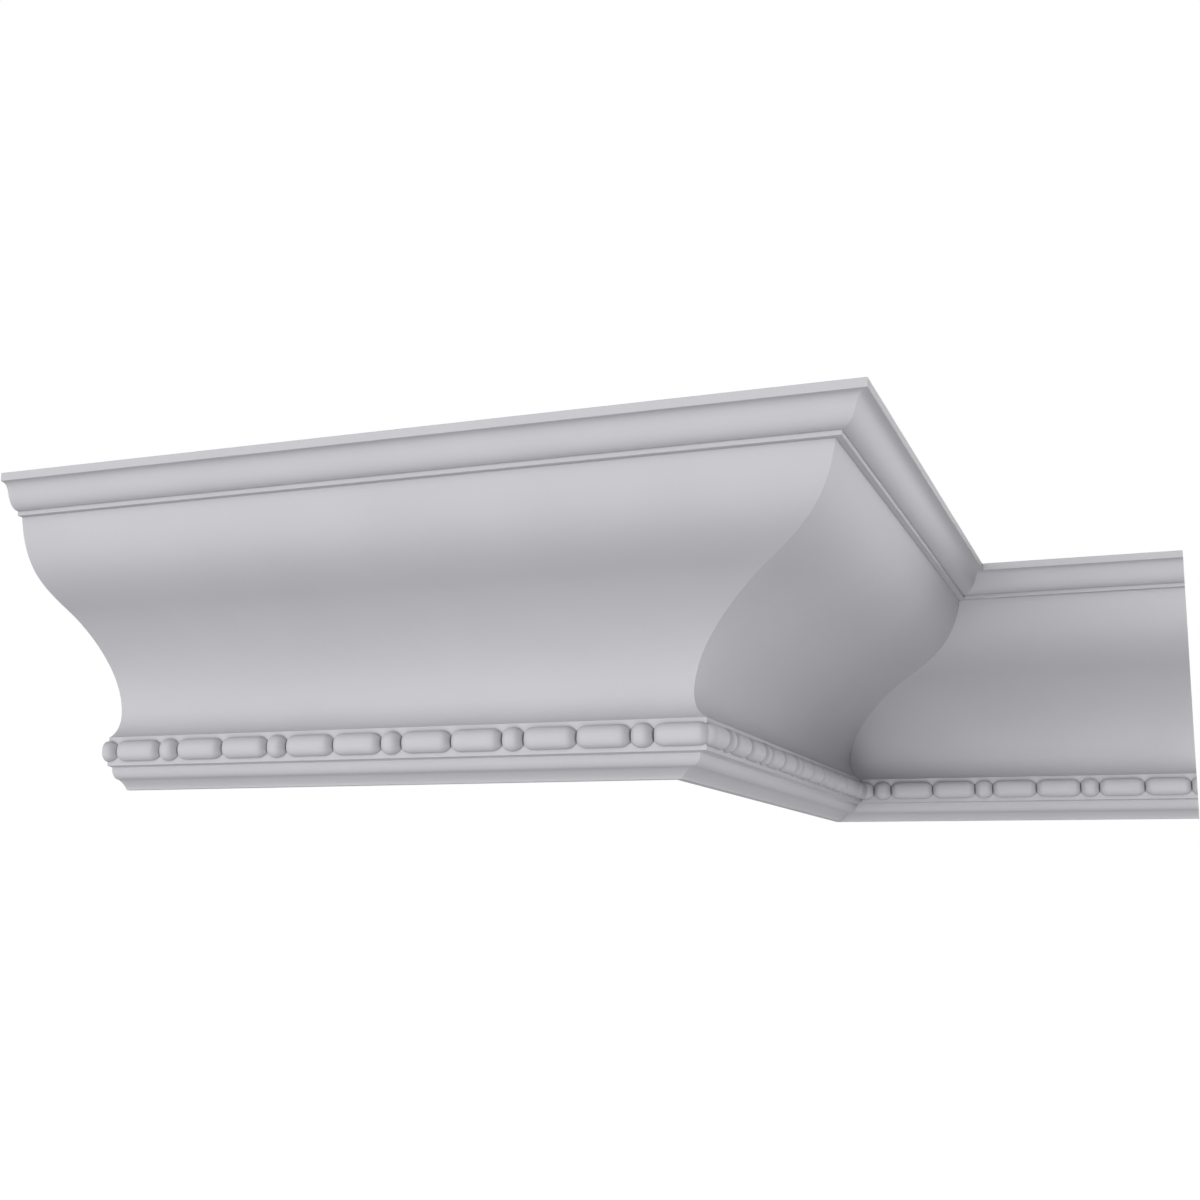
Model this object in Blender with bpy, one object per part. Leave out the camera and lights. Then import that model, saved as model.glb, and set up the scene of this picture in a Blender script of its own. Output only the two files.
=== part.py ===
"""A stepped run of cornice moulding with a bead-and-barrel band, in three mitred lengths.

Metres, +Z up. The front length lies along X with its face towards -Y. At its right end an
outside mitre turns the run back along +Y, and an inside mitre turns it along +X again.
The origin is the middle of the front length's wall face.
"""

import math

import bmesh
import bpy

# Overall sizes
MOULDING_HEIGHT = 0.180
FASCIA_PROJECTION = 0.1434
FRONT_WALL_LENGTH = 0.3819
RETURN_WALL_LENGTH = 0.4291
BACK_WALL_LENGTH = 0.2820

# Hidden back: a flat face on the wall, a flat face on the ceiling, and a slant between them
WALL_BEARING_HEIGHT = 0.070
CEILING_BEARING_WIDTH = 0.035

# Crown, from the top edge down: fascia, the small S of a cove and a round, and fillet
FASCIA_HEIGHT = 0.0051
CROWN_HEIGHT = 0.0148
CROWN_DEPTH = 0.0167
CROWN_TURN_ACROSS = 0.57
CROWN_TURN_UP = 0.60
CROWN_TURN_LEAN = math.radians(17)
FILLET_HEIGHT = 0.0027
FILLET_SOFFIT_DEPTH = 0.0039

# Ogee: its lean under the fillet, the place and slope of its turn, and how full its curves are
OGEE_TOP_LEAN = math.radians(10.7)
OGEE_TURN_SLOPE = math.radians(22.6)
OGEE_TURN_ACROSS = 0.56
OGEE_TURN_UP = 0.55
OGEE_BELLY_FULLNESS = (0.60, 0.63)
OGEE_HOLLOW_FULLNESS = (0.395, 0.455)

# Hollow under the ogee, which sweeps out again onto the band
HOLLOW_RISE = 0.0157
HOLLOW_DEPTH = 0.0106

# Band and the small base members below it, from the band down
BAND_HEIGHT = 0.0186
STEP_COVE_HEIGHT = 0.0010
STEP_COVE_DEPTH = 0.0050
OVOLO_HEIGHT = 0.0069
OVOLO_DEPTH = 0.0062
BASE_COVE_HEIGHT = 0.0061
BASE_COVE_DEPTH = 0.0099
FOOT_WIDTH = 0.0047

# Beads and barrels on the band, in the order bead, barrel, barrel
BEAD_LENGTH = 0.0138
BEAD_HALF_HEIGHT = 0.0071
BEAD_DEPTH = 0.0067
BARREL_LENGTH = 0.0333
BARREL_HALF_HEIGHT = 0.00665
BARREL_DEPTH = 0.0063
BARRELS_PER_BEAD = 2
BEAD_BACK_FROM_OUTSIDE_CORNER = 0.0122
BEAD_ON_FROM_INSIDE_CORNER = 0.0437

# Shape of a bead: how far its outline turns by a joint, the share of its depth left there,
# and how flat its face is along the string and across it (2 is round, more is flatter)
JOINT_ANGLE = math.radians(62.2)
JOINT_DEPTH = 0.10
FACE_FLATNESS_ALONG = 3.0
FACE_FLATNESS_ACROSS = 2.15

# Gap left between the glued faces of each mitre
MITRE_GAP = 0.0003

# Fullness of a bend: this share of each leg makes a quarter ellipse, less is softer
ROUND = 0.5523
CROWN_COVE_FULLNESS = 0.75
CROWN_ROUND_FULLNESS = 0.65
OVOLO_FULLNESS = 0.50
BASE_COVE_FULLNESS = 0.30

# Number of straight steps in each curve
SMALL_CURVE_STEPS = 5
OGEE_CURVE_STEPS = 8
STRING_SIDES = 14
ROUNDED_END_STEPS = 4

# How far blanks and cutters run past what they make
OVERRUN = 0.010
SMOOTH_BELOW_ANGLE = math.radians(32)
PRIMER_GREY = (0.415, 0.411, 0.434, 1.0)
PRIMER_ROUGHNESS = 0.62

# How an end is cut: what each metre of projection adds to the length
SQUARE = 0.0
OUTSIDE_MITRE = 1.0
INSIDE_MITRE = -1.0

BASE_HEIGHT = BASE_COVE_HEIGHT + OVOLO_HEIGHT + STEP_COVE_HEIGHT
BAND_PROJECTION = FOOT_WIDTH + BASE_COVE_DEPTH + OVOLO_DEPTH + STEP_COVE_DEPTH
BEAD = (BEAD_LENGTH, BEAD_HALF_HEIGHT, BEAD_DEPTH)
BARREL = (BARREL_LENGTH, BARREL_HALF_HEIGHT, BARREL_DEPTH)
PATTERN = [BEAD] + [BARREL] * BARRELS_PER_BEAD
BEAD_PITCH = BEAD_LENGTH + BARRELS_PER_BEAD * BARREL_LENGTH


def bezier(start, start_handle, end_handle, end, steps):
    """Points after the start, up to the end, of a cubic curve."""
    points = []
    for step in range(1, steps + 1):
        t = step / steps
        weights = ((1 - t) ** 3, 3 * (1 - t) ** 2 * t, 3 * (1 - t) * t**2, t**3)
        corners = (start, start_handle, end_handle, end)
        across = sum(w * c[0] for w, c in zip(weights, corners))
        up = sum(w * c[1] for w, c in zip(weights, corners))
        points.append((across, up))
    return points


def bend(start, corner, end, fullness):
    """A curve that leaves the start towards the corner and reaches the end from it."""
    handles = []
    for point in (start, end):
        handles.append(tuple(p + fullness * (c - p) for p, c in zip(point, corner)))
    return bezier(start, handles[0], handles[1], end, SMALL_CURVE_STEPS)


def quarter(start, across, up, upright_first, fullness):
    """A bend that leaves along one axis and arrives along the other."""
    end = (start[0] + across, start[1] + up)
    corner = (start[0], end[1]) if upright_first else (end[0], start[1])
    return bend(start, corner, end, fullness)


def base_members():
    """Foot, base cove, ovolo and step cove, from the wall out to the band's lower edge."""
    points = [(0.0, 0.0), (FOOT_WIDTH, 0.0)]
    points += quarter(points[-1], BASE_COVE_DEPTH, BASE_COVE_HEIGHT, True, BASE_COVE_FULLNESS)
    points += quarter(points[-1], OVOLO_DEPTH, OVOLO_HEIGHT, False, OVOLO_FULLNESS)
    points += quarter(points[-1], STEP_COVE_DEPTH, STEP_COVE_HEIGHT, True, ROUND)
    return points


def hollow(band_top):
    """The arc from the band's upper edge in to the point nearest the wall, where it is upright."""
    radius = (HOLLOW_DEPTH**2 + HOLLOW_RISE**2) / (2 * HOLLOW_DEPTH)
    centre = (band_top[0] - HOLLOW_DEPTH + radius, band_top[1] + HOLLOW_RISE)
    sweep = math.atan2(HOLLOW_RISE, radius - HOLLOW_DEPTH)
    points = []
    for step in range(1, SMALL_CURVE_STEPS + 1):
        angle = sweep * (1 - step / SMALL_CURVE_STEPS)
        across = centre[0] - radius * math.cos(angle)
        up = centre[1] - radius * math.sin(angle)
        points.append((across, up))
    return points


def ogee(foot, top):
    """The long S from the hollow up to the fillet, made of a hollow curve and a full one."""
    run = top[0] - foot[0]
    rise = top[1] - foot[1]
    turn = (foot[0] + OGEE_TURN_ACROSS * run, foot[1] + OGEE_TURN_UP * rise)
    slope = (math.cos(OGEE_TURN_SLOPE), math.sin(OGEE_TURN_SLOPE))

    into_turn = OGEE_HOLLOW_FULLNESS[0] * (turn[0] - foot[0])
    out_of_foot = OGEE_HOLLOW_FULLNESS[1] * (turn[1] - foot[1])
    foot_handle = (foot[0], foot[1] + out_of_foot)
    turn_handle = (turn[0] - into_turn * slope[0], turn[1] - into_turn * slope[1])
    points = bezier(foot, foot_handle, turn_handle, turn, OGEE_CURVE_STEPS)

    into_top = OGEE_BELLY_FULLNESS[0] * (top[1] - turn[1])
    out_of_turn = OGEE_BELLY_FULLNESS[1] * (top[0] - turn[0])
    turn_handle = (turn[0] + out_of_turn * slope[0], turn[1] + out_of_turn * slope[1])
    lean = (math.sin(OGEE_TOP_LEAN), math.cos(OGEE_TOP_LEAN))
    top_handle = (top[0] - into_top * lean[0], top[1] - into_top * lean[1])
    points += bezier(turn, turn_handle, top_handle, top, OGEE_CURVE_STEPS)
    return points


def crown_members():
    """Fillet, crown round, crown cove and fascia, from the fillet's underside to the top edge."""
    fascia_foot = (FASCIA_PROJECTION, MOULDING_HEIGHT - FASCIA_HEIGHT)
    fillet = FASCIA_PROJECTION - CROWN_DEPTH
    inner = (fillet, fascia_foot[1] - CROWN_HEIGHT)
    arris = (fillet, inner[1] - FILLET_HEIGHT)
    turn = (fillet + CROWN_TURN_ACROSS * CROWN_DEPTH, inner[1] + CROWN_TURN_UP * CROWN_HEIGHT)
    lean = math.tan(CROWN_TURN_LEAN)
    round_corner = (turn[0] - lean * (turn[1] - inner[1]), inner[1])
    cove_corner = (turn[0] + lean * (fascia_foot[1] - turn[1]), fascia_foot[1])
    points = [(fillet - FILLET_SOFFIT_DEPTH, arris[1]), arris, inner]
    points += bend(inner, round_corner, turn, CROWN_ROUND_FULLNESS)
    points += bend(turn, cove_corner, fascia_foot, CROWN_COVE_FULLNESS)
    points.append((FASCIA_PROJECTION, MOULDING_HEIGHT))
    return points


def moulding_section():
    """The whole outline as (projection from the wall, height) pairs, anticlockwise."""
    base = base_members()
    band_top = (BAND_PROJECTION, BASE_HEIGHT + BAND_HEIGHT)
    hollow_arc = hollow(band_top)
    crown = crown_members()
    points = base + [band_top] + hollow_arc
    points += ogee(hollow_arc[-1], crown[0])
    points += crown[1:]
    points.append((FASCIA_PROJECTION - CEILING_BEARING_WIDTH, MOULDING_HEIGHT))
    points.append((0.0, WALL_BEARING_HEIGHT))
    return points


def object_from(name, bm):
    """A new object holding this bmesh, with its faces turned outwards."""
    bmesh.ops.recalc_face_normals(bm, faces=bm.faces)
    mesh = bpy.data.meshes.new(name)
    bm.to_mesh(mesh)
    bm.free()
    made = bpy.data.objects.new(name, mesh)
    bpy.context.scene.collection.objects.link(made)
    return made


def helper_from(name, bm):
    """An object that only shapes another one."""
    made = object_from(name, bm)
    made.hide_render = True
    made.display_type = "WIRE"
    return made


def prism(bm, outline, direction):
    """Adds a prism: the outline's points, and the same points moved by the direction."""
    near = [bm.verts.new(point) for point in outline]
    far = []
    for point in outline:
        far.append(bm.verts.new([p + d for p, d in zip(point, direction)]))
    bm.faces.new(near)
    bm.faces.new(far)
    for i in range(len(outline)):
        j = (i + 1) % len(outline)
        bm.faces.new((near[i], near[j], far[j], far[i]))


def blank(name, wall_length):
    """The plain moulding along X, longer than the wall length by enough for any end."""
    overrun = FASCIA_PROJECTION + OVERRUN
    bm = bmesh.new()
    outline = [(-overrun, -across, up) for across, up in moulding_section()]
    prism(bm, outline, (wall_length + 2 * overrun, 0.0, 0.0))
    return object_from(name, bm)


def joint_ring(place):
    """(place along the string, half height, depth) of the ring where two elements meet."""
    return (place, BARREL_HALF_HEIGHT * math.cos(JOINT_ANGLE), BARREL_DEPTH * JOINT_DEPTH)


def element_rings(start, length, half_height, depth):
    """The rings of one bead or barrel, from just past its left joint to its right one."""
    centre = start + 0.5 * length
    flat = 0.5 * (length - BEAD_LENGTH)
    rings = []
    for step in range(1 - ROUNDED_END_STEPS, ROUNDED_END_STEPS):
        angle = JOINT_ANGLE * step / ROUNDED_END_STEPS
        share = math.sin(angle) / math.sin(JOINT_ANGLE)
        fall = (1 - JOINT_DEPTH) * abs(share) ** FACE_FLATNESS_ALONG
        sides = {sign * flat for sign in (-1, 1) if sign * step >= 0}
        for side in sorted(sides):
            place = centre + side + 0.5 * BEAD_LENGTH * share
            rings.append((place, half_height * math.cos(angle), depth * (1 - fall)))
    return rings + [joint_ring(start + length)]


def string_rings(first_bead, start, end):
    """Rings of every whole bead and barrel that this stretch needs."""
    place = first_bead - 0.5 * BEAD_LENGTH
    place -= BEAD_PITCH * math.ceil((place - start) / BEAD_PITCH)
    rings = []
    while place < end:
        for length, half_height, depth in PATTERN:
            if place < end and place + length > start:
                if not rings:
                    rings.append(joint_ring(place))
                rings += element_rings(place, length, half_height, depth)
            place += length
    return rings


def bead_string(name, first_bead, start, end):
    """Beads and barrels along one line on the band's face, as one closed body."""
    bm = bmesh.new()
    middle = BASE_HEIGHT + 0.5 * BAND_HEIGHT
    power = 2 / FACE_FLATNESS_ACROSS
    loops = []
    for place, half_height, depth in string_rings(first_bead, start, end):
        loop = []
        for side in range(STRING_SIDES):
            angle = math.tau * (side + 0.5) / STRING_SIDES
            across = math.copysign(abs(math.sin(angle)) ** power, math.sin(angle))
            up = math.copysign(abs(math.cos(angle)) ** power, math.cos(angle))
            projection = BAND_PROJECTION + depth * across
            loop.append(bm.verts.new((place, -projection, middle + half_height * up)))
        loops.append(loop)
    for low, high in zip(loops, loops[1:]):
        for i in range(STRING_SIDES):
            j = (i + 1) % STRING_SIDES
            bm.faces.new((low[i], low[j], high[j], high[i]))
    bm.faces.new(loops[0])
    bm.faces.new(loops[-1])
    return helper_from(name, bm)


def end_cutter(name, wall_end, outward, cut):
    """A block past the end at wall_end; outward is -1 for the left end and 1 for the right."""
    gap = 0.5 * MITRE_GAP * math.sqrt(1 + cut**2) if cut else 0.0
    outline = []
    for across in (-OVERRUN, FASCIA_PROJECTION + OVERRUN):
        outline.append((wall_end + outward * (cut * across - gap), -across, -OVERRUN))
    far = wall_end + outward * (FASCIA_PROJECTION + BEAD_PITCH + 2 * OVERRUN)
    for across in (FASCIA_PROJECTION + OVERRUN, -OVERRUN):
        outline.append((far, -across, -OVERRUN))
    bm = bmesh.new()
    prism(bm, outline, (0.0, 0.0, MOULDING_HEIGHT + 2 * OVERRUN))
    return helper_from(name, bm)


def boolean(target, other, operation):
    """Adds an exact Boolean modifier to the target."""
    modifier = target.modifiers.new(other.name, "BOOLEAN")
    modifier.operation = operation
    modifier.solver = "EXACT"
    modifier.object = other


def settle(made, helpers):
    """Turns the modifiers' result into the object's own mesh, then removes what shaped it."""
    graph = bpy.context.evaluated_depsgraph_get()
    mesh = bpy.data.meshes.new_from_object(made.evaluated_get(graph))
    made.modifiers.clear()
    made.data = mesh
    mesh.shade_smooth()
    mesh.set_sharp_from_angle(angle=SMOOTH_BELOW_ANGLE)
    for helper in helpers:
        bpy.data.objects.remove(helper)


def primer_finish(name):
    """Light grey matt primer."""
    material = bpy.data.materials.new(name)
    material.use_nodes = True
    shader = material.node_tree.nodes["Principled BSDF"]
    shader.inputs["Base Color"].default_value = PRIMER_GREY
    shader.inputs["Roughness"].default_value = PRIMER_ROUGHNESS
    shader.inputs["Metallic"].default_value = 0.0
    material.diffuse_color = PRIMER_GREY
    return material


def moulding_length(name, wall_length, cuts, first_bead):
    """One length of moulding along X, from 0 to wall_length on the wall, its face towards -Y."""
    made = blank(name, wall_length)
    start = -cuts[0] * BAND_PROJECTION
    end = wall_length + cuts[1] * BAND_PROJECTION
    string = bead_string(name + "_string", first_bead, start, end)
    left = end_cutter(name + "_left_cut", 0.0, -1, cuts[0])
    right = end_cutter(name + "_right_cut", wall_length, 1, cuts[1])
    boolean(made, string, "UNION")
    boolean(made, left, "DIFFERENCE")
    boolean(made, right, "DIFFERENCE")
    settle(made, (string, left, right))
    made.data.materials.append(primer_finish(name + "_primer"))
    return made


def clear_scene():
    for old in list(bpy.data.objects):
        bpy.data.objects.remove(old)


def build_cornice():
    """Builds the three lengths and sets them along the walls."""
    base = -0.5 * WALL_BEARING_HEIGHT
    corner = 0.5 * FRONT_WALL_LENGTH
    front = moulding_length(
        "front_length",
        FRONT_WALL_LENGTH,
        (SQUARE, OUTSIDE_MITRE),
        FRONT_WALL_LENGTH - BEAD_BACK_FROM_OUTSIDE_CORNER,
    )
    front.location = (-corner, 0.0, base)

    turned = moulding_length(
        "return_length",
        RETURN_WALL_LENGTH,
        (OUTSIDE_MITRE, INSIDE_MITRE),
        BEAD_BACK_FROM_OUTSIDE_CORNER,
    )
    turned.rotation_euler = (0.0, 0.0, math.radians(90))
    turned.location = (corner, 0.0, base)

    back = moulding_length(
        "back_length",
        BACK_WALL_LENGTH,
        (INSIDE_MITRE, SQUARE),
        BEAD_ON_FROM_INSIDE_CORNER,
    )
    back.location = (corner, RETURN_WALL_LENGTH, base)


clear_scene()
build_cornice()
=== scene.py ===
import math

import bmesh
import bpy
from mathutils import Matrix, Vector


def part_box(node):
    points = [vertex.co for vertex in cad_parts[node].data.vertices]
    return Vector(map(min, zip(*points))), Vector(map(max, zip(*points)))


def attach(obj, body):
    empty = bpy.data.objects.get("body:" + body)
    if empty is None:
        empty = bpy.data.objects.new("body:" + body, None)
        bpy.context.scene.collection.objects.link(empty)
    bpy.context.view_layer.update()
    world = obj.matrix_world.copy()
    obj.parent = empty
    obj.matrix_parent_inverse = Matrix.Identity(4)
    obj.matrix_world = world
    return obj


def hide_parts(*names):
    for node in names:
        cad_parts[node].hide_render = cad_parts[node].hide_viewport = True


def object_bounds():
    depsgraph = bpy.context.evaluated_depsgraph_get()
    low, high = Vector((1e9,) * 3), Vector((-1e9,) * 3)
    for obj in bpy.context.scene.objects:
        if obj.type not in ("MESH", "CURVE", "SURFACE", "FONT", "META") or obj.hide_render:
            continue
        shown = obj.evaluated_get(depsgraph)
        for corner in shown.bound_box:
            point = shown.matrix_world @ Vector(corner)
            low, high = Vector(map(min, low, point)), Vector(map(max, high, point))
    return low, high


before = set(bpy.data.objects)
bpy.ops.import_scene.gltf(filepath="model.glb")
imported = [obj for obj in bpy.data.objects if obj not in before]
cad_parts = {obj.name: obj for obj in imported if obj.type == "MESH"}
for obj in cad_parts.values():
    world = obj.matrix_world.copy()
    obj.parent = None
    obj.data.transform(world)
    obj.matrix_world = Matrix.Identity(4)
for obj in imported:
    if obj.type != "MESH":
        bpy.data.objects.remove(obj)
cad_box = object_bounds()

# Section of the moulding, in metres: crown members from the top edge down
FASCIA_HEIGHT = 0.0051
CROWN_HEIGHT = 0.0148
CROWN_DEPTH = 0.0167
CROWN_TURN_ACROSS = 0.57
CROWN_TURN_UP = 0.60
CROWN_TURN_LEAN = math.radians(17)
FILLET_HEIGHT = 0.0027
FILLET_SOFFIT_DEPTH = 0.0039

# Ogee: its lean under the fillet, the place and slope of its turn, and how full its curves are
OGEE_TOP_LEAN = math.radians(10.7)
OGEE_TURN_SLOPE = math.radians(22.6)
OGEE_TURN_ACROSS = 0.56
OGEE_TURN_UP = 0.55
OGEE_BELLY_FULLNESS = (0.60, 0.63)
OGEE_HOLLOW_FULLNESS = (0.395, 0.455)
HOLLOW_RISE = 0.0157
HOLLOW_DEPTH = 0.0106

# Band and base members, from the band down, as (depth, height)
BAND_HEIGHT = 0.0186
STEP_COVE = (0.0050, 0.0010)
OVOLO = (0.0062, 0.0069)
BASE_COVE = (0.0099, 0.0061)
FOOT_WIDTH = 0.0047
BASE_HEIGHT = BASE_COVE[1] + OVOLO[1] + STEP_COVE[1]
BAND_PROJECTION = FOOT_WIDTH + BASE_COVE[0] + OVOLO[0] + STEP_COVE[0]
WALL_FOOT = (0.0, 0.0)
BAND_FOOT = (BAND_PROJECTION, BASE_HEIGHT)
BAND_TOP = (BAND_PROJECTION, BASE_HEIGHT + BAND_HEIGHT)

# Hidden back
WALL_BEARING_HEIGHT = 0.070
CEILING_BEARING_WIDTH = 0.035

# Beads and barrels
BEAD_LENGTH = 0.0138
BEAD_HALF_HEIGHT = 0.0071
BEAD_DEPTH = 0.0067
BARREL_LENGTH = 0.0333
BARREL_HALF_HEIGHT = 0.00665
BARREL_DEPTH = 0.0063
BARRELS_PER_BEAD = 2
BEAD = (BEAD_LENGTH, BEAD_HALF_HEIGHT, BEAD_DEPTH)
BARREL = (BARREL_LENGTH, BARREL_HALF_HEIGHT, BARREL_DEPTH)
PATTERN = [BEAD] + [BARREL] * BARRELS_PER_BEAD
BEAD_PITCH = BEAD_LENGTH + BARRELS_PER_BEAD * BARREL_LENGTH
BEAD_BACK_FROM_OUTSIDE_CORNER = 0.0122
BEAD_ON_FROM_INSIDE_CORNER = 0.0437

# Shape of a bead: how far its outline turns by a joint, the share of its depth left there,
# and how flat its face is along the string and across it (2 is round, more is flatter)
JOINT_ANGLE = math.radians(62.2)
JOINT_DEPTH = 0.10
FACE_FLATNESS_ALONG = 3.0
FACE_FLATNESS_ACROSS = 2.15

# Fullness of a bend: this share of each leg makes a quarter ellipse, less is softer
ROUND = 0.5523
CROWN_COVE_FULLNESS = 0.75
CROWN_ROUND_FULLNESS = 0.65
OVOLO_FULLNESS = 0.50
BASE_COVE_FULLNESS = 0.30

# Fineness of the curves, and the small radius that softens each outer arris
SMALL_CURVE_STEPS = 12
OGEE_CURVE_STEPS = 28
STRING_STEPS = 28
ROUNDED_END_STEPS = 12
ARRIS_RADIUS = 0.00035
ARRIS_STEPS = 3
SMOOTH_BELOW_ANGLE = math.radians(32)
NORMAL_WEIGHT = 50

# How far each blank runs on past its cuts, and how near to a cut a point counts as on it
OVERRUN = 0.010
CUT_TOLERANCE = 1e-7

# Places of the hidden finishes in each piece's list, and how far a face may tilt and still be
# of the back or the top
CAST = 1
SAWN = 2
BACK_TILT = math.radians(60)
CEILING_TILT = math.radians(5)

# How an end is cut: what each metre of projection adds to the length
SQUARE = 0.0
OUTSIDE_MITRE = 1.0
INSIDE_MITRE = -1.0

# Turn of each length from +X
ALONG_FRONT = 0.0
ALONG_RETURN = math.radians(90)

# Camera: place from the origin, turn to the left, tilt up, roll, the tilt from straight down
# that makes it level, and its lens
CAMERA_PLACE = (0.4690, -0.8508, -0.1099)
CAMERA_YAW = math.radians(21.026)
CAMERA_PITCH = math.radians(11.411)
CAMERA_ROLL = math.radians(0.689)
CAMERA_LEVEL = math.radians(90)
LENS_MM = 46.21
SENSOR_MM = 36.0

# Soft lights around the room, as (turn from +X in degrees, height in degrees, strength), the
# glow of the rest of the room, and how narrow each light is
SOFT_LIGHTS = [
    (240, 0, 4.92),
    (262, 0, 1.25),
    (305, 0, 0.39),
    (285, 40, 1.88),
    (285, -40, 3.38),
    (0, -40, 0.55),
    (50, 0, 6.50),
    (140, 20, 2.00),
]
ROOM_GLOW = 0.315
LIGHT_NARROWNESS = 16.0

# Primer: its darkest and lightest tint, and the painted shade that darkens its colour in a crease
DARK_TINT = (0.407, 0.403, 0.426, 1.0)
LIGHT_TINT = (0.423, 0.419, 0.442, 1.0)
MOTTLE_SIZE = 0.070
MOTTLE_SPAN = (0.3, 0.7)
MOTTLE_DETAIL = 4.0
# Painted shade in the creases: how far the occlusion looks, the darkest share of the colour left,
# the occlusion span it fades over, and its samples
PAINTED_CREASE_REACH = 0.0018
PAINTED_CREASE_DARKEST = 0.35
PAINTED_CREASE_SPAN = (0.30, 0.74)
PAINTED_CREASE_SAMPLES = 8
SPECULAR_LEVEL = 0.25

# Roughness of each finish, from its smoothest to its roughest spots
FACE_ROUGHNESS = (0.60, 0.72)
CAST_ROUGHNESS = (0.74, 0.86)
SAWN_ROUGHNESS = (0.76, 0.88)

# Relief of each finish, as (size of its marks, depth), in metres
SPRAY_GRAIN = (0.0012, 0.00003)
SPRAY_WAVES = (0.0060, 0.00006)
CAST_PORES = (0.0030, 0.00030)
CAST_WAVES = (0.0250, 0.00040)
CUT_CELLS = (0.0011, 0.00012)
SAW_LINES = (0.0016, 0.00010)
SPRAY_GRAIN_DETAIL = 3.0
SPRAY_WAVES_DETAIL = 2.0
CAST_WAVES_DETAIL = 3.0
SAW_TILT = math.radians(12)
SAW_WANDER = 2.5
PIT_SPAN = (0.12, 0.34)

# Distance over which the wave texture repeats where its scale is 1
WAVE_TEXTURE_PERIOD = math.tau / 20

# Stage
FLOOR_DROP = 1.4
FLOOR_SIDE = 30.0
FLOOR_COLOUR = (0.9, 0.9, 0.9, 1.0)
FLOOR_ROUGHNESS = 0.9
FLOOR_GLOW = 1.0
WHITE = (1.0, 1.0, 1.0, 1.0)

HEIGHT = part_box("front_length")[1].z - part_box("front_length")[0].z
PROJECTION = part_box("front_length")[1].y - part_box("front_length")[0].y


def bezier(start, start_handle, end_handle, end, steps):
    """Points after the start, up to the end, of a cubic curve."""
    points = []
    for step in range(1, steps + 1):
        t = step / steps
        weights = ((1 - t) ** 3, 3 * (1 - t) ** 2 * t, 3 * (1 - t) * t**2, t**3)
        corners = (start, start_handle, end_handle, end)
        across = sum(w * c[0] for w, c in zip(weights, corners))
        up = sum(w * c[1] for w, c in zip(weights, corners))
        points.append((across, up))
    return points


def bend(start, corner, end, fullness):
    """A curve that leaves the start towards the corner and reaches the end from it."""
    handles = []
    for point in (start, end):
        handles.append(tuple(p + fullness * (c - p) for p, c in zip(point, corner)))
    return bezier(start, handles[0], handles[1], end, SMALL_CURVE_STEPS)


def quarter(start, size, upright_first, fullness):
    """A bend that leaves along one axis and arrives along the other."""
    end = (start[0] + size[0], start[1] + size[1])
    corner = (start[0], end[1]) if upright_first else (end[0], start[1])
    return bend(start, corner, end, fullness)


def softened(before, corner, after):
    """Points of the small arc that takes the place of a sharp outer corner."""
    corner = Vector(corner)
    to_before = (Vector(before) - corner).normalized()
    to_after = (Vector(after) - corner).normalized()
    half = 0.5 * to_before.angle(to_after)
    centre = corner + (to_before + to_after).normalized() * ARRIS_RADIUS / math.sin(half)
    reach = ARRIS_RADIUS / math.tan(half)
    start = corner + to_before * reach - centre
    end = corner + to_after * reach - centre
    points = []
    for step in range(ARRIS_STEPS + 1):
        arm = start.lerp(end, step / ARRIS_STEPS).normalized() * ARRIS_RADIUS
        points.append(tuple(centre + arm))
    return points


def base_members():
    """Foot, base cove, ovolo and step cove, out to the band's lower edge."""
    foot = (FOOT_WIDTH, 0.0)
    cove = quarter(foot, BASE_COVE, True, BASE_COVE_FULLNESS)
    points = softened(WALL_FOOT, foot, cove[0]) + cove
    points += quarter(points[-1], OVOLO, False, OVOLO_FULLNESS)
    points += quarter(points[-1], STEP_COVE, True, ROUND)
    return points


def hollow():
    """The arc from the band's upper edge in to the point nearest the wall, where it is upright."""
    radius = (HOLLOW_DEPTH**2 + HOLLOW_RISE**2) / (2 * HOLLOW_DEPTH)
    centre = (BAND_TOP[0] - HOLLOW_DEPTH + radius, BAND_TOP[1] + HOLLOW_RISE)
    sweep = math.atan2(HOLLOW_RISE, radius - HOLLOW_DEPTH)
    points = []
    for step in range(1, SMALL_CURVE_STEPS + 1):
        angle = sweep * (1 - step / SMALL_CURVE_STEPS)
        across = centre[0] - radius * math.cos(angle)
        up = centre[1] - radius * math.sin(angle)
        points.append((across, up))
    return points


def ogee(foot, top):
    """The long S from the hollow up to the fillet, made of a hollow curve and a full one."""
    run = top[0] - foot[0]
    rise = top[1] - foot[1]
    turn = (foot[0] + OGEE_TURN_ACROSS * run, foot[1] + OGEE_TURN_UP * rise)
    slope = (math.cos(OGEE_TURN_SLOPE), math.sin(OGEE_TURN_SLOPE))

    into_turn = OGEE_HOLLOW_FULLNESS[0] * (turn[0] - foot[0])
    out_of_foot = OGEE_HOLLOW_FULLNESS[1] * (turn[1] - foot[1])
    foot_handle = (foot[0], foot[1] + out_of_foot)
    turn_handle = (turn[0] - into_turn * slope[0], turn[1] - into_turn * slope[1])
    points = bezier(foot, foot_handle, turn_handle, turn, OGEE_CURVE_STEPS)

    into_top = OGEE_BELLY_FULLNESS[0] * (top[1] - turn[1])
    out_of_turn = OGEE_BELLY_FULLNESS[1] * (top[0] - turn[0])
    turn_handle = (turn[0] + out_of_turn * slope[0], turn[1] + out_of_turn * slope[1])
    lean = (math.sin(OGEE_TOP_LEAN), math.cos(OGEE_TOP_LEAN))
    top_handle = (top[0] - into_top * lean[0], top[1] - into_top * lean[1])
    points += bezier(turn, turn_handle, top_handle, top, OGEE_CURVE_STEPS)
    return points


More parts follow.
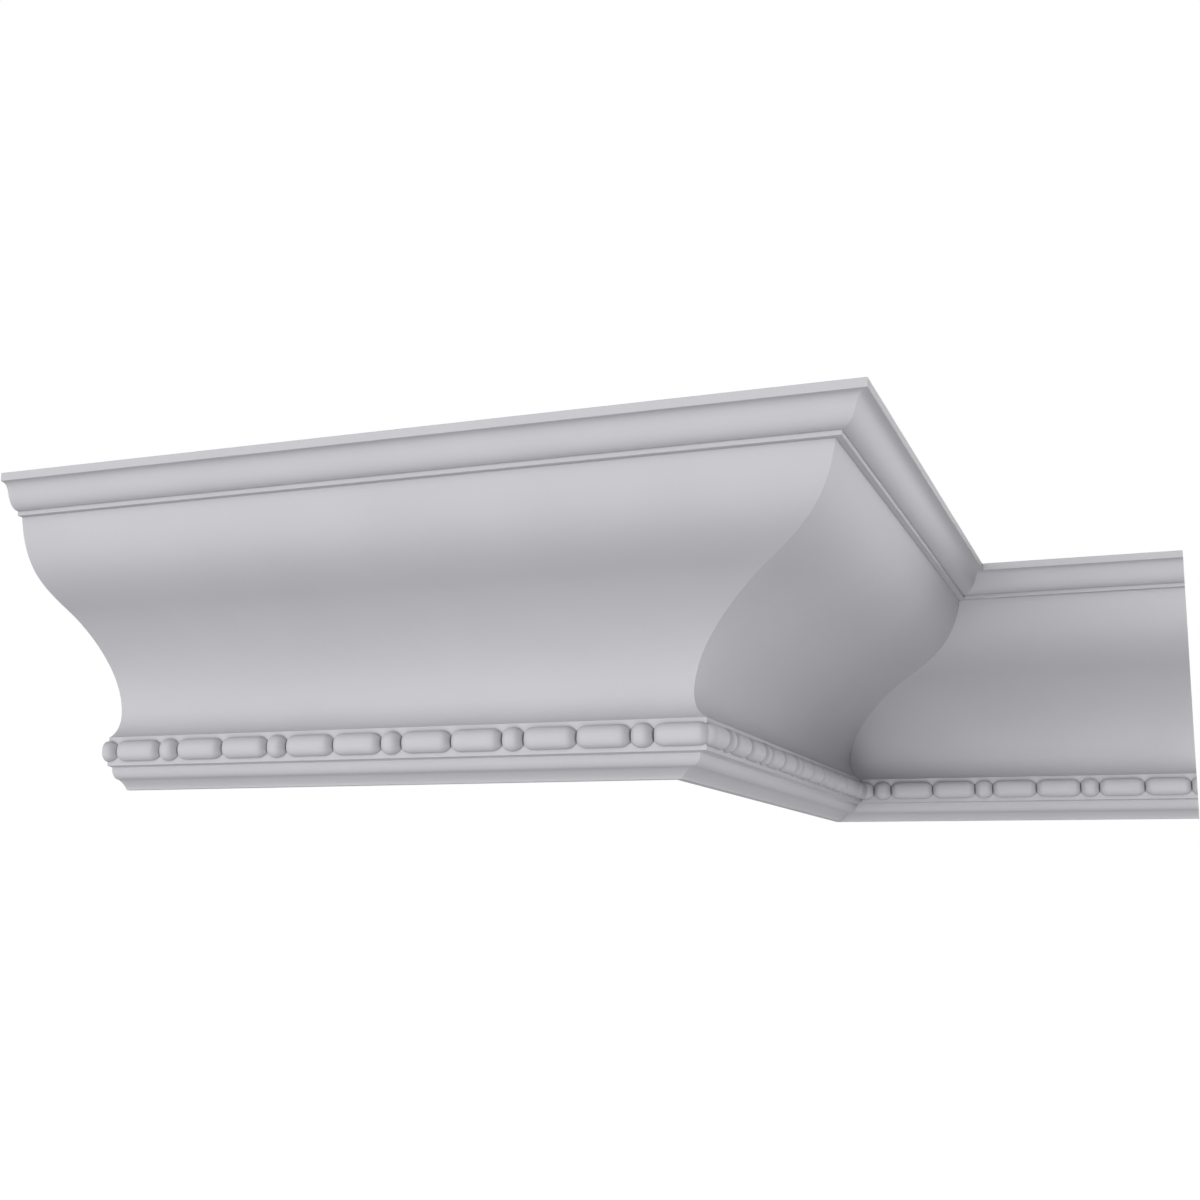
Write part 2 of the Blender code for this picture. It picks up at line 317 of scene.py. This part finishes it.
def crown_members():
    """Fillet, crown round, crown cove and fascia, from the fillet's underside to the top edge."""
    fascia_foot = (PROJECTION, HEIGHT - FASCIA_HEIGHT)
    fillet = PROJECTION - CROWN_DEPTH
    inner = (fillet, fascia_foot[1] - CROWN_HEIGHT)
    arris = (fillet, inner[1] - FILLET_HEIGHT)
    soffit = (fillet - FILLET_SOFFIT_DEPTH, arris[1])
    turn = (fillet + CROWN_TURN_ACROSS * CROWN_DEPTH, inner[1] + CROWN_TURN_UP * CROWN_HEIGHT)
    lean = math.tan(CROWN_TURN_LEAN)
    round_corner = (turn[0] - lean * (turn[1] - inner[1]), inner[1])
    cove_corner = (turn[0] + lean * (fascia_foot[1] - turn[1]), fascia_foot[1])
    points = [soffit] + softened(soffit, arris, inner) + [inner]
    points += bend(inner, round_corner, turn, CROWN_ROUND_FULLNESS)
    cove = bend(turn, cove_corner, fascia_foot, CROWN_COVE_FULLNESS)
    top = (PROJECTION, HEIGHT)
    ceiling = (PROJECTION - CEILING_BEARING_WIDTH, HEIGHT)
    points += cove[:-1] + softened(cove[-2], fascia_foot, top)
    points += softened(fascia_foot, top, ceiling) + [ceiling]
    return points


def lower_section():
    """From the foot of the wall face up to where the band's flat face begins."""
    base = base_members()
    return [WALL_FOOT] + base[:-1] + softened(base[-2], BAND_FOOT, BAND_TOP)


def upper_section():
    """From where the band's flat face ends, over the face and top and down the back."""
    hollow_arc = hollow()
    crown = crown_members()
    points = softened(BAND_FOOT, BAND_TOP, hollow_arc[0]) + hollow_arc
    points += ogee(hollow_arc[-1], crown[0])
    points += crown[1:] + [(0.0, WALL_BEARING_HEIGHT)]
    return points


def joint_ring(place):
    """(place along the string, half height, depth) of the ring where two elements meet."""
    return (place, BARREL_HALF_HEIGHT * math.cos(JOINT_ANGLE), BARREL_DEPTH * JOINT_DEPTH)


def element_rings(start, length, half_height, depth):
    """The rings of one bead or barrel, from its left joint to its right."""
    centre = start + 0.5 * length
    flat = 0.5 * (length - BEAD_LENGTH)
    rings = [joint_ring(start)]
    for step in range(1 - ROUNDED_END_STEPS, ROUNDED_END_STEPS):
        angle = JOINT_ANGLE * step / ROUNDED_END_STEPS
        share = math.sin(angle) / math.sin(JOINT_ANGLE)
        fall = (1 - JOINT_DEPTH) * abs(share) ** FACE_FLATNESS_ALONG
        sides = {sign * flat for sign in (-1, 1) if sign * step >= 0}
        for side in sorted(sides):
            place = centre + side + 0.5 * BEAD_LENGTH * share
            rings.append((place, half_height * math.cos(angle), depth * (1 - fall)))
    return rings + [joint_ring(start + length)]


def string_elements(first_bead, start, end):
    """Rings of every whole bead and barrel that this stretch needs, element by element."""
    place = first_bead - 0.5 * BEAD_LENGTH
    place -= BEAD_PITCH * math.ceil((place - start) / BEAD_PITCH)
    elements = []
    while place < end:
        for length, half_height, depth in PATTERN:
            if place < end and place + length > start:
                elements.append(element_rings(place, length, half_height, depth))
            place += length
    return elements


def place_row(bm, x, points):
    """New vertices at one place along the length, for points of the section."""
    return [bm.verts.new((x, -across, up)) for across, up in points]


def half_ring(half_height, depth):
    """Points of the outer half of a ring of the string, from its lower to its upper side."""
    middle = BASE_HEIGHT + 0.5 * BAND_HEIGHT
    power = 2 / FACE_FLATNESS_ACROSS
    points = []
    for step in range(STRING_STEPS + 1):
        angle = math.pi * step / STRING_STEPS
        across = BAND_PROJECTION + depth * abs(math.sin(angle)) ** power
        up = half_height * abs(math.cos(angle)) ** power
        points.append((across, middle - math.copysign(up, math.cos(angle))))
    return points


def quads_between(bm, left, right):
    """Faces that join two rows of vertices, point to point."""
    for i in range(len(left) - 1):
        bm.faces.new((left[i], left[i + 1], right[i + 1], right[i]))


class Station:
    """The rows of points of the section at one place along the length, below and above the band."""

    def __init__(self, bm, x):
        self.low = place_row(bm, x, lower_section())
        self.high = place_row(bm, x, upper_section())


def plain_faces(bm, near, far):
    """Everything between two stations but the band's own face."""
    quads_between(bm, near.low, far.low)
    quads_between(bm, near.high, far.high)
    bm.faces.new((near.high[-1], near.low[0], far.low[0], far.high[-1]))


def plain_end(bm, plain, at_string, ring):
    """The stretch past the string's end, where the band is bare."""
    plain_faces(bm, plain, at_string)
    bm.faces.new(ring)
    band = [plain.high[0], plain.low[-1], at_string.low[-1], ring[0], ring[-1], at_string.high[0]]
    bm.faces.new(band)
    bm.faces.new(plain.low + plain.high)


def moulding_mesh(first_bead, wall_length, cuts):
    """The long blank with its beads and barrels, as one closed surface built element by element."""
    bm = bmesh.new()
    start = -cuts[0] * BAND_PROJECTION
    end = wall_length + cuts[1] * BAND_PROJECTION
    elements = string_elements(first_bead, start, end)
    first = elements[0][0]
    near = Station(bm, first[0])
    ring = place_row(bm, first[0], half_ring(*first[1:]))
    plain_end(bm, Station(bm, -PROJECTION - OVERRUN), near, ring)
    for rings in elements:
        far = Station(bm, rings[-1][0])
        under = [ring[0]]
        over = [ring[-1]]
        for place, half_height, depth in rings[1:]:
            following = place_row(bm, place, half_ring(half_height, depth))
            quads_between(bm, ring, following)
            ring = following
            under.append(ring[0])
            over.append(ring[-1])
        plain_faces(bm, near, far)
        bm.faces.new([near.low[-1]] + under + [far.low[-1]])
        bm.faces.new([near.high[0]] + over + [far.high[0]])
        near = far
    plain_end(bm, Station(bm, wall_length + PROJECTION + OVERRUN), near, ring)
    return bm


def cut_end(bm, wall_end, outward, cut):
    """Cuts the blank off along a square or mitred plane and closes it with one flat sawn face."""
    normal = Vector((outward, cut, 0.0)).normalized()
    everything = bm.verts[:] + bm.edges[:] + bm.faces[:]
    result = bmesh.ops.bisect_plane(
        bm,
        geom=everything,
        plane_co=(wall_end, 0.0, 0.0),
        plane_no=normal,
        clear_outer=True,
        dist=CUT_TOLERANCE,
    )
    rim = [item for item in result["geom_cut"] if isinstance(item, bmesh.types.BMEdge)]
    for face in bmesh.ops.edgeloop_fill(bm, edges=rim)["faces"]:
        face.material_index = SAWN


def mark_back(bm):
    """Gives the cast finish to the faces that look to the wall or up to the ceiling."""
    for face in bm.faces:
        to_wall = face.normal.y > math.cos(BACK_TILT)
        to_ceiling = face.normal.z > math.cos(CEILING_TILT)
        if face.material_index != SAWN and (to_wall or to_ceiling):
            face.material_index = CAST


def moulding_length(node, wall_length, cuts, first_bead, place, turn):
    """Makes the finished length that stands for one node."""
    bm = moulding_mesh(first_bead, wall_length, cuts)
    cut_end(bm, 0.0, -1, cuts[0])
    cut_end(bm, wall_length, 1, cuts[1])
    bmesh.ops.recalc_face_normals(bm, faces=bm.faces)
    mark_back(bm)
    mesh = bpy.data.meshes.new(node + "_finish")
    bm.to_mesh(mesh)
    bm.free()
    mesh.transform(Matrix.Translation(place) @ Matrix.Rotation(turn, 4, "Z"))
    mesh.shade_smooth()
    mesh.set_sharp_from_angle(angle=SMOOTH_BELOW_ANGLE)
    piece = bpy.data.objects.new(node + "_finish", mesh)
    bpy.context.scene.collection.objects.link(piece)
    weighted = piece.modifiers.new("weighted_normals", "WEIGHTED_NORMAL")
    weighted.keep_sharp = True
    weighted.weight = NORMAL_WEIGHT
    for finish in FINISHES:
        mesh.materials.append(finish)
    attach(piece, "root")
    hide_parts(node)


def add_node(tree, kind, settings, inputs):
    """A new node; an input given as another node's socket is linked, any other is set."""
    made = tree.nodes.new(kind)
    for name, value in settings.items():
        setattr(made, name, value)
    for name, value in inputs.items():
        if isinstance(value, bpy.types.NodeSocket):
            tree.links.new(value, made.inputs[name])
        else:
            made.inputs[name].default_value = value
    return made


def place_on_piece(tree):
    """The place of a point on its piece, in metres."""
    return add_node(tree, "ShaderNodeTexCoord", {}, {}).outputs["Object"]


def noise(tree, size, detail):
    """Cloudy marks of about this size."""
    inputs = {"Vector": place_on_piece(tree), "Scale": 1 / size, "Detail": detail}
    return add_node(tree, "ShaderNodeTexNoise", {}, inputs).outputs["Fac"]


def pores(tree, size):
    """Round pits of about this size, scattered over the piece."""
    inputs = {"Vector": place_on_piece(tree), "Scale": 1 / size}
    cells = add_node(tree, "ShaderNodeTexVoronoi", {}, inputs)
    span = {"From Min": PIT_SPAN[0], "From Max": PIT_SPAN[1]}
    pits = add_node(tree, "ShaderNodeMapRange", {}, {"Value": cells.outputs["Distance"], **span})
    return pits.outputs["Result"]


def saw_lines(tree, size):
    """Uneven parallel lines left by a saw, a little off the level."""
    inputs = {"Vector": place_on_piece(tree), "Rotation": (SAW_TILT, 0.0, 0.0)}
    tilted = add_node(tree, "ShaderNodeMapping", {}, inputs).outputs["Vector"]
    inputs = {"Vector": tilted, "Scale": WAVE_TEXTURE_PERIOD / size, "Distortion": SAW_WANDER}
    return add_node(tree, "ShaderNodeTexWave", {"bands_direction": "Z"}, inputs).outputs["Fac"]


def raise_relief(tree, height, depth):
    """Lays one more relief of this depth over those that the shader already has."""
    normal = tree.nodes["Principled BSDF"].inputs["Normal"]
    inputs = {"Height": height, "Distance": depth}
    if normal.is_linked:
        inputs["Normal"] = normal.links[0].from_socket
    bump = add_node(tree, "ShaderNodeBump", {}, inputs)
    tree.links.new(bump.outputs["Normal"], normal)


def primer_colour(tree, mottle):
    """The primer's slightly mottled colour, with painted shade that darkens it in a crease."""
    tint = add_node(tree, "ShaderNodeValToRGB", {}, {"Fac": mottle})
    ends = zip(tint.color_ramp.elements, MOTTLE_SPAN, (DARK_TINT, LIGHT_TINT))
    for element, place, colour in ends:
        element.position = place
        element.color = colour
    # Painted shade: ambient occlusion darkens the colour in creases and round the beads and barrels
    inputs = {"Distance": PAINTED_CREASE_REACH}
    openness = add_node(tree, "ShaderNodeAmbientOcclusion", {"samples": PAINTED_CREASE_SAMPLES}, inputs)
    span = {"From Min": PAINTED_CREASE_SPAN[0], "From Max": PAINTED_CREASE_SPAN[1], "To Min": PAINTED_CREASE_DARKEST}
    shade = add_node(tree, "ShaderNodeMapRange", {}, {"Value": openness.outputs["AO"], **span})
    inputs = {"Factor": 1.0, "A": tint.outputs["Color"], "B": shade.outputs["Result"]}
    kind = {"data_type": "RGBA", "blend_type": "MULTIPLY"}
    return add_node(tree, "ShaderNodeMix", kind, inputs).outputs["Result"]


def primer(name, roughness_span):
    """Matt grey primer, before its relief."""
    material = bpy.data.materials.new(name)
    material.use_nodes = True
    tree = material.node_tree
    shader = tree.nodes["Principled BSDF"]
    mottle = noise(tree, MOTTLE_SIZE, MOTTLE_DETAIL)
    span = {"To Min": roughness_span[0], "To Max": roughness_span[1]}
    roughness = add_node(tree, "ShaderNodeMapRange", {}, {"Value": mottle, **span})
    tree.links.new(primer_colour(tree, mottle), shader.inputs["Base Color"])
    tree.links.new(roughness.outputs["Result"], shader.inputs["Roughness"])
    shader.inputs["Specular IOR Level"].default_value = SPECULAR_LEVEL
    return material


def primed_face():
    """The sprayed face: a fine grain over faint waves."""
    material = primer("primed_face", FACE_ROUGHNESS)
    tree = material.node_tree
    raise_relief(tree, noise(tree, SPRAY_WAVES[0], SPRAY_WAVES_DETAIL), SPRAY_WAVES[1])
    raise_relief(tree, noise(tree, SPRAY_GRAIN[0], SPRAY_GRAIN_DETAIL), SPRAY_GRAIN[1])
    return material


def cast_back():
    """The hidden back and top, as they come from the mould: wavy, with open pores."""
    material = primer("cast_back", CAST_ROUGHNESS)
    tree = material.node_tree
    raise_relief(tree, noise(tree, CAST_WAVES[0], CAST_WAVES_DETAIL), CAST_WAVES[1])
    raise_relief(tree, pores(tree, CAST_PORES[0]), CAST_PORES[1])
    return material


def sawn_end():
    """The cut ends: the lines of the saw over the foam's small cells."""
    material = primer("sawn_end", SAWN_ROUGHNESS)
    tree = material.node_tree
    raise_relief(tree, saw_lines(tree, SAW_LINES[0]), SAW_LINES[1])
    raise_relief(tree, pores(tree, CUT_CELLS[0]), CUT_CELLS[1])
    return material


def cornice():
    """The three lengths, set by the boxes of the nodes that they stand for."""
    front_low, front_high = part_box("front_length")
    back_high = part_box("back_length")[1]
    corner_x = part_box("return_length")[0].x
    front_wall = corner_x - front_low.x
    return_wall = back_high.y - front_high.y
    back_wall = back_high.x - corner_x
    foot = front_low.z
    moulding_length(
        "front_length",
        front_wall,
        (SQUARE, OUTSIDE_MITRE),
        front_wall - BEAD_BACK_FROM_OUTSIDE_CORNER,
        (front_low.x, front_high.y, foot),
        ALONG_FRONT,
    )
    moulding_length(
        "return_length",
        return_wall,
        (OUTSIDE_MITRE, INSIDE_MITRE),
        BEAD_BACK_FROM_OUTSIDE_CORNER,
        (corner_x, front_high.y, foot),
        ALONG_RETURN,
    )
    moulding_length(
        "back_length",
        back_wall,
        (INSIDE_MITRE, SQUARE),
        BEAD_ON_FROM_INSIDE_CORNER,
        (corner_x, back_high.y, foot),
        ALONG_FRONT,
    )


def stage_floor():
    """A plain pale floor, well below the cornice."""
    mesh = bpy.data.meshes.new("floor")
    bm = bmesh.new()
    bmesh.ops.create_grid(bm, x_segments=1, y_segments=1, size=0.5 * FLOOR_SIDE)
    bm.to_mesh(mesh)
    bm.free()
    floor = bpy.data.objects.new("floor", mesh)
    floor.location = (0.0, 0.0, cad_box[0].z - FLOOR_DROP)
    bpy.context.scene.collection.objects.link(floor)
    material = bpy.data.materials.new("floor")
    material.use_nodes = True
    shader = material.node_tree.nodes["Principled BSDF"]
    shader.inputs["Base Color"].default_value = FLOOR_COLOUR
    shader.inputs["Roughness"].default_value = FLOOR_ROUGHNESS
    shader.inputs["Emission Color"].default_value = WHITE
    shader.inputs["Emission Strength"].default_value = FLOOR_GLOW
    mesh.materials.append(material)
    floor.visible_diffuse = False
    floor.visible_glossy = False
    floor.visible_shadow = False


def math_node(tree, operation, *values):
    """The result of a sum with these values or sockets."""
    inputs = dict(enumerate(values))
    return add_node(tree, "ShaderNodeMath", {"operation": operation}, inputs).outputs[0]


def studio_light():
    """Broad soft lights from a few sides, in a room that looks plain white."""
    world = bpy.data.worlds.new("studio")
    world.use_nodes = True
    tree = world.node_tree
    looking = add_node(tree, "ShaderNodeTexCoord", {}, {}).outputs["Generated"]
    total = ROOM_GLOW
    for turn, height, strength in SOFT_LIGHTS:
        turn = math.radians(turn)
        height = math.radians(height)
        flat = math.cos(height)
        towards = (flat * math.cos(turn), flat * math.sin(turn), math.sin(height))
        inputs = {0: looking, 1: towards}
        dot = add_node(tree, "ShaderNodeVectorMath", {"operation": "DOT_PRODUCT"}, inputs)
        facing = math_node(tree, "MAXIMUM", dot.outputs["Value"], 0.0)
        lobe = math_node(tree, "POWER", facing, LIGHT_NARROWNESS)
        total = math_node(tree, "MULTIPLY_ADD", lobe, strength, total)
    rays = add_node(tree, "ShaderNodeLightPath", {}, {})
    inputs = {"Value": rays.outputs["Is Camera Ray"], "To Min": total, "To Max": 1.0}
    seen = add_node(tree, "ShaderNodeMapRange", {}, inputs)
    background = tree.nodes["Background"]
    tree.links.new(seen.outputs["Result"], background.inputs["Strength"])
    background.inputs["Color"].default_value = WHITE
    bpy.context.scene.world = world


def photo_camera():
    """The camera at the photograph's place and angle."""
    lens = bpy.data.cameras.new("camera")
    lens.lens = LENS_MM
    lens.sensor_width = SENSOR_MM
    camera = bpy.data.objects.new("camera", lens)
    camera.matrix_world = (
        Matrix.Translation(CAMERA_PLACE)
        @ Matrix.Rotation(CAMERA_YAW, 4, "Z")
        @ Matrix.Rotation(CAMERA_LEVEL + CAMERA_PITCH, 4, "X")
        @ Matrix.Rotation(CAMERA_ROLL, 4, "Z")
    )
    bpy.context.scene.collection.objects.link(camera)
    bpy.context.scene.camera = camera


photo_camera()
FINISHES = [primed_face(), cast_back(), sawn_end()]
cornice()
stage_floor()
studio_light()
bpy.context.scene.view_settings.view_transform = "Standard"
